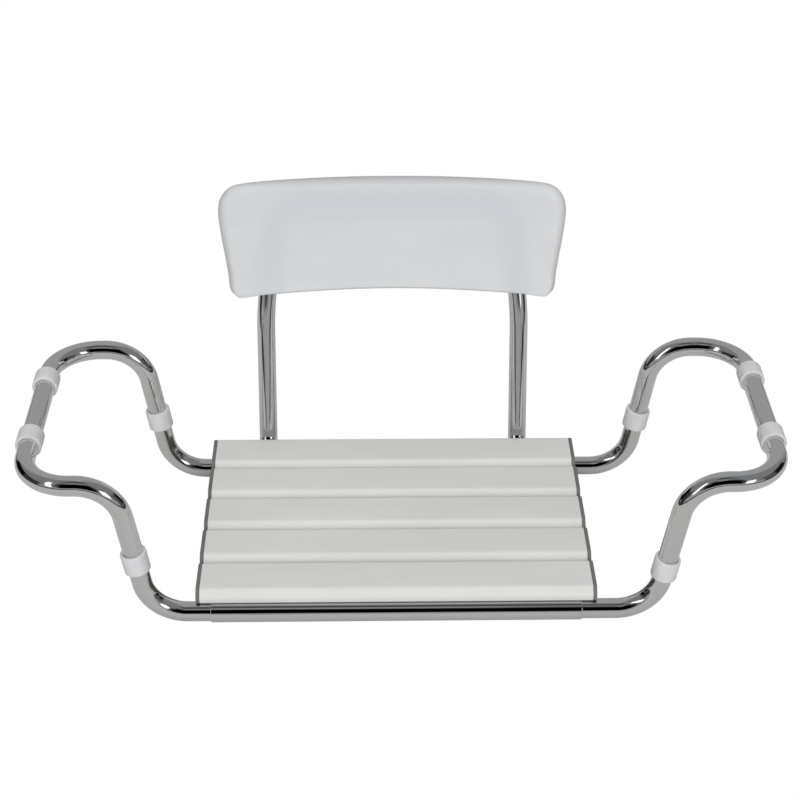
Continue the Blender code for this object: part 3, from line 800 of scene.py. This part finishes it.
# Left half of the pad's outline, as (x, w) from its widest line to the middle
PAD_TOP_EDGE = [(-187.2, 88.0), (-190.2, 112.0), (-189.6, 126.0), (-186.0, 135.2),
                (-179.6, 142.4), (-171.0, 146.6), (-152.0, 149.2), (-120.0, 151.4),
                (-80.0, 153.1), (-40.0, 154.1), (0.0, 154.4)]
PAD_LOW_EDGE = [(-187.2, 88.0), (-181.2, 52.0), (-180.0, 38.0), (-179.0, 32.0), (-176.6, 27.4),
                (-173.0, 24.2), (-168.0, 23.0), (-150.0, 24.6), (-118.0, 26.5), (-79.0, 28.2),
                (-39.0, 29.5), (0.0, 30.0)]
PAD_CORNER = 0.19        # share of the outline from its top middle to a corner of the face grid
PAD_MIDDLE_W = 88.0      # the height at which the top and the bottom edge meet
PAD_HALF = 190.2         # half of the pad's greatest width
PAD_ROUND = 12.0         # radius of the pad's edges
SHADE_REACH, SHADE_SOFT = 12.0, 9.0      # how far from the tube its painted shade shows, and its softness
TOP_SHADE_W, TOP_SHADE_SOFT = 145.0, 8.0     # where the painted shade of the darker top rim starts, and its softness


def pad_outline(inset, drop):
    """Closed outline of the pad in (x, w), anticlockwise from the middle of its top edge."""
    top = smooth_curve(PAD_TOP_EDGE, 60)
    low = smooth_curve(PAD_LOW_EDGE, 60)
    half = list(reversed(top))[:-1] + low
    loop = half + [Vector((-p.x, p.y)) for p in reversed(half[1:-1])]
    if inset:
        loop = [Vector((p.x * (1 - inset / PAD_HALF),
                        p.y - (inset if p.y > PAD_MIDDLE_W else drop) *
                        min(1.0, abs(p.y - PAD_MIDDLE_W) / 40.0))) for p in loop]
    return loop


def pad_rings(inset, drop):
    """Rings from the pad's front face round its edge to its back face."""
    thick = PAD_T / 2 - inset
    outline = pad_outline(inset, drop)
    n = len(outline)
    edge = min(PAD_ROUND, thick - 1.0)
    levels = []
    steps = 10
    for k in range(steps + 1):
        a = math.pi / 2 * k / steps
        levels.append((-thick + edge * (1 - math.sin(a)), edge * (1 - math.cos(a))))
    levels = sorted({(round(d, 5), round(e, 5)) for d, e in levels} |
                    {(round(-d, 5), round(e, 5)) for d, e in levels})
    inward = []
    for i, p in enumerate(outline):
        a, b = outline[i - 1], outline[(i + 1) % n]
        t = (b - a).normalized()
        inward.append(Vector((-t.y, t.x)))
    rings = []
    for d, e in levels:
        r = []
        for i, p in enumerate(outline):
            # the edge is sharper towards the bottom
            soft = min(1.0, max(0.0, (p.y - 24.0) / 90.0)) ** 0.5
            q = p + inward[i] * (e * (0.12 + 0.88 * soft))
            r.append(back_point(q.x, q.y, d))
        rings.append(r)
    return rings


def face_grid(edge, depth, first, start):
    """Face of the pad inside its closed edge, as a grid of quads with four corners.

    edge holds the (x, w) of the edge points, first the number of edge point 0, and start the
    number of the first new point. Returns the new points and the faces.
    """
    n = len(edge)
    corner = round(n * PAD_CORNER)
    across, down = 2 * corner, n // 2 - 2 * corner
    top = [(corner - k) % n for k in range(across + 1)]
    low = [corner + down + k for k in range(across + 1)]
    left = [corner + j for j in range(down + 1)]
    right = [n - corner - j for j in range(down + 1)]
    points, grid = [], [[first + k for k in top]]
    for j in range(1, down):
        v = j / down
        row = [first + left[j]]
        for k in range(1, across):
            u = k / across
            p = (edge[top[k]] * (1 - v) + edge[low[k]] * v
                 + edge[left[j]].lerp(edge[right[j]], u)
                 - edge[top[0]].lerp(edge[top[-1]], u) * (1 - v)
                 - edge[low[0]].lerp(edge[low[-1]], u) * v)
            row.append(start + len(points))
            points.append(back_point(p.x, p.y, depth))
        grid.append(row + [first + right[j]])
    grid.append([first + k for k in low])
    faces = [(grid[j][k], grid[j][k + 1], grid[j + 1][k + 1], grid[j + 1][k])
             for j in range(down) for k in range(across)]
    return points, faces


def pad_solid(inset, drop):
    """Closed skin of the pad: front face, edges and back face."""
    rings = pad_rings(inset, drop)
    thick = PAD_T / 2 - inset
    faces, _ = loft(rings)
    points = [p for r in rings for p in r]
    n = len(rings[0])
    for first, depth in ((0, -thick), (len(points) - n, thick)):
        edge = [unbend(p) for p in points[first:first + n]]
        inner, cover = face_grid(edge, depth, first, len(points))
        points += inner
        faces += cover
    return points, faces


def unbend(point):
    """(x, w) of a point on the pad: the inverse of back_point for a known face."""
    rel = Vector((point.y - KINK_Y, point.z - KINK_Z))
    w = rel.x * math.sin(RECLINE) + rel.y * math.cos(RECLINE)
    out = rel.x * math.cos(RECLINE) - rel.y * math.sin(RECLINE)
    x = point.x
    for _ in range(6):
        bow = BACK_BOW * (1.0 - (x / UPRIGHT_X) ** 2)
        slope = -2.0 * BACK_BOW * x / UPRIGHT_X ** 2
        across = Vector((1.0, slope)).normalized()
        d = (out - bow) / across.x
        x = point.x + d * across.y
    return Vector((x, w))


def backrest_pad(path):
    """The hollow pad. Its points store how near the tube they are, for the tube's painted shade,
    and how far onto the top rim they lie, for the painted shade of the top.
    """
    points, faces = pad_solid(0.0, 0.0)
    obj = make("backrest_pad", points, faces, "seat", ["Backrest_pad"],
               pad_plastic("pad_plastic"), sharp=60.0)
    hollow, hollow_faces = pad_solid(PAD_WALL, 14.0)
    mesh = bpy.data.meshes.new("hollow")
    mesh.from_pydata([(p + SEAT) * 0.001 for p in hollow], [], hollow_faces)
    shape = bmesh.new()
    shape.from_mesh(mesh)
    bmesh.ops.recalc_face_normals(shape, faces=shape.faces)
    shape.to_mesh(mesh)
    shape.free()
    carve(obj, mesh)
    made = obj.data
    line = np.array([(p + SEAT) * 0.001 for p in dense(path, 4.0)])
    near = []
    # painted shade: how near each point is to the tube inside the pad
    for v in made.vertices:
        gap = np.sqrt(((line - np.array(v.co)) ** 2).sum(axis=1)).min() * 1000.0
        near.append(math.exp(-(max(gap - SHADE_REACH, 0.0) / SHADE_SOFT) ** 2))
    made.attributes.new("painted_tube_shade", "FLOAT", "POINT").data.foreach_set("value", near)
    # painted shade of the top rim, from each point's height up the pad
    height = np.array([unbend(v.co * 1000.0 - SEAT).y for v in made.vertices])
    rim = np.clip((height - TOP_SHADE_W) / TOP_SHADE_SOFT, 0.0, 1.0)
    made.attributes.new("painted_top_shade", "FLOAT", "POINT").data.foreach_set("value", rim)
    made.shade_smooth()
    made.set_sharp_from_angle(angle=math.radians(60.0))


# ---- studio ----
FLOOR_SIDES, FLOOR_FRONT = (1.15, 1.45), (1.3, 1.6)      # metres from the middle, where the painted falloff of the floor's light starts and ends
FLOOR_DROP = 0.0006       # metres from the object down to the floor
BACK_TURN = (122.0, 142.0)          # degrees round to where the room's back wall begins
ROOM_LEVELS = (0.25, 0.42)          # brightness of the rest of the room, and of its back wall
ROOM_TINT = (0.975, 1.0, 1.03)
DOME = 0.745              # soft light from all round
DOME_SIDES = (0.5, 0.85)            # how far to the sides the dome's light falls off
FRONT_LIGHT = 0.51        # soft light from the front


def floor():
    s = Shader("floor_pale")
    cloud = s.noise(s.stretched((0.6, 0.6, 0.6)), 2.0, 0.5)
    pale = s.mix(cloud, (0.655, 0.65, 0.64), (0.675, 0.67, 0.66))
    # painted falloff of the studio light: further out at the sides and in front the pale floor
    # turns dark, and mirrors and bounced light meet it
    split = s.node("ShaderNodeSeparateXYZ")
    s.link(s.coord.outputs["Object"], split.inputs[0])
    sides = s.remap(s.math("ABSOLUTE", split.outputs[0]), *FLOOR_SIDES, 0.0, 1.0)
    ahead = s.remap(s.math("MULTIPLY", split.outputs[1], -1.0), *FLOOR_FRONT, 0.0, 1.0)
    # painted light: a pale pool round the object, dark floor beyond it
    painted_light_pool = s.mix(s.math("MAXIMUM", sides, ahead), pale, (0.05, 0.05, 0.05))
    path = s.node("ShaderNodeLightPath").outputs["Is Camera Ray"]
    s.colour(s.mix(path, painted_light_pool, (0.0, 0.0, 0.0)))
    s.set(Roughness=0.9, Specular_IOR_Level=0.0)
    s.set(Emission_Color=(1.0, 1.0, 1.0, 1.0))
    s.link(path, s.bsdf.inputs["Emission Strength"])
    shape = bmesh.new()
    bmesh.ops.create_circle(shape, cap_ends=True, radius=14.0, segments=96)
    mesh = bpy.data.meshes.new("floor")
    shape.to_mesh(mesh)
    shape.free()
    mesh.materials.append(s.mat)
    obj = bpy.data.objects.new("floor", mesh)
    obj.location = (0.0, 0.0, -FLOOR_DROP)
    bpy.context.scene.collection.objects.link(obj)


def world():
    made = bpy.data.worlds.new("studio")
    bpy.context.scene.world = made
    made.use_nodes = True
    made.cycles.sampling_method = "NONE"
    made.node_tree.nodes.clear()
    n = Nodes(made.node_tree)

    where = n.node("ShaderNodeTexCoord").outputs["Generated"]
    split = n.node("ShaderNodeSeparateXYZ")
    n.link(where, split.inputs[0])
    x, y, z = split.outputs
    # degrees round from the front of the studio (to the right is positive), and up from the floor
    ahead = n.math("MULTIPLY", y, -1.0)
    turn = n.math("MULTIPLY", n.math("ARCTAN2", x, ahead), 180.0 / math.pi)
    rise = n.math("MULTIPLY", n.math("ARCSINE", z), 180.0 / math.pi)

    def patch(turn0, rise0, half_turn, half_rise, soft, lean=0.0):
        """1 inside a soft-edged patch of the studio, 0 outside it."""
        up = n.math("SUBTRACT", rise, rise0)
        along = n.math("MULTIPLY_ADD", up, lean, n.math("SUBTRACT", turn, turn0))
        sides = [n.remap(n.math("ABSOLUTE", value), half - soft, half + soft, 1.0, 0.0)
                 for value, half in ((along, half_turn), (up, half_rise))]
        return n.math("MULTIPLY", *sides)

    room = n.remap(n.math("ABSOLUTE", turn), *BACK_TURN, *ROOM_LEVELS)
    for level, spot in STUDIO:
        room = n.math("MULTIPLY_ADD", patch(*spot), n.math("SUBTRACT", level, room), room)
    mirror = n.node("ShaderNodeCombineXYZ")
    for tint, socket in zip(ROOM_TINT, mirror.inputs):
        n.link(n.math("MULTIPLY", room, tint), socket)

    # what mirrors see, what lights the matt surfaces, and what the camera sees
    white = (1.0, 1.0, 1.0, 1.0)
    glossy, dome, seen = (n.node("ShaderNodeBackground") for _ in range(3))
    n.link(mirror.outputs[0], glossy.inputs["Color"])
    dome.inputs["Color"].default_value = white
    n.link(n.remap(n.math("ABSOLUTE", x), *DOME_SIDES, DOME, DOME * 0.15),
           dome.inputs["Strength"])
    seen.inputs["Color"].default_value = white
    light = n.node("ShaderNodeLightPath")
    shown = dome
    for ray, other in (("Is Glossy Ray", glossy), ("Is Camera Ray", seen)):
        choice = n.node("ShaderNodeMixShader")
        n.link(light.outputs[ray], choice.inputs[0])
        n.link(shown.outputs[0], choice.inputs[1])
        n.link(other.outputs[0], choice.inputs[2])
        shown = choice
    n.link(shown.outputs[0], n.node("ShaderNodeOutputWorld").inputs["Surface"])


# What the chrome sees round the object: (brightness, (degrees round, degrees up, half width,
# half height, softness, lean)). Later rows lie over earlier ones.
STUDIO = [
    (0.04, (-90.0, 10.0, 30.0, 16.0, 5.0)),       # dark sides of the room, low down
    (0.0, (-114.0, 10.0, 16.0, 15.0, 2.5)),
    (0.11, (80.0, 11.0, 20.0, 16.0, 5.0)),
    (0.01, (103.0, 10.0, 14.0, 15.0, 2.5)),
    (0.08, (-5.0, 76.0, 50.0, 8.0, 3.0)),         # dark panel overhead
    (0.045, (-2.0, 38.0, 33.0, 17.0, 5.0)),       # dark front, round the camera
    (0.0, (-2.0, 29.0, 23.0, 18.0, 3.0)),
    (0.42, (0.0, 1.0, 62.0, 8.0, 2.5)),           # pale foot of the backdrop
    (0.34, (-6.0, 58.0, 14.0, 5.0, 2.5)),         # strip light overhead
    (2.2, (-49.0, 33.0, 6.0, 20.0, 2.0, 0.35)),   # left and right soft boxes
    (2.2, (37.0, 20.0, 9.0, 10.0, 2.0, -0.35)),
]


def sun():
    """Soft light from the front, which the chrome doesn't mirror."""
    lamp = bpy.data.lights.new("front_softbox", "SUN")
    lamp.energy = FRONT_LIGHT * math.pi
    lamp.angle = math.radians(60.0)
    obj = bpy.data.objects.new("front_softbox", lamp)
    obj.rotation_euler = (math.radians(55.0), 0.0, 0.0)
    obj.visible_glossy = False
    bpy.context.scene.collection.objects.link(obj)


# The camera, solved from the edges of the object: its place in metres, its turn in degrees and
# its lens in millimetres
CAMERA_AT = (-0.028771, -1.554288, 1.145841)
CAMERA_TURN = (56.9411, -0.2062, -0.9427)
LENS, SENSOR = 78.9975, 36.0


def camera():
    lens = bpy.data.cameras.new("camera")
    lens.lens, lens.sensor_width = LENS, SENSOR
    lens.clip_end = 60.0
    obj = bpy.data.objects.new("camera", lens)
    obj.location = CAMERA_AT
    obj.rotation_euler = [math.radians(a) for a in CAMERA_TURN]
    bpy.context.scene.collection.objects.link(obj)
    bpy.context.scene.camera = obj


# ---- build ----
camera()
floor()
world()
sun()
sleeves()
arms()
collars()
slats()
slat_caps()
bearers()
screws()
locks()
backrest_pad(backrest_frame())

view = bpy.context.scene.view_settings
view.view_transform, view.look, view.exposure, view.gamma = "Standard", "None", 0.0, 1.0
bpy.context.scene.cycles.use_denoising = True
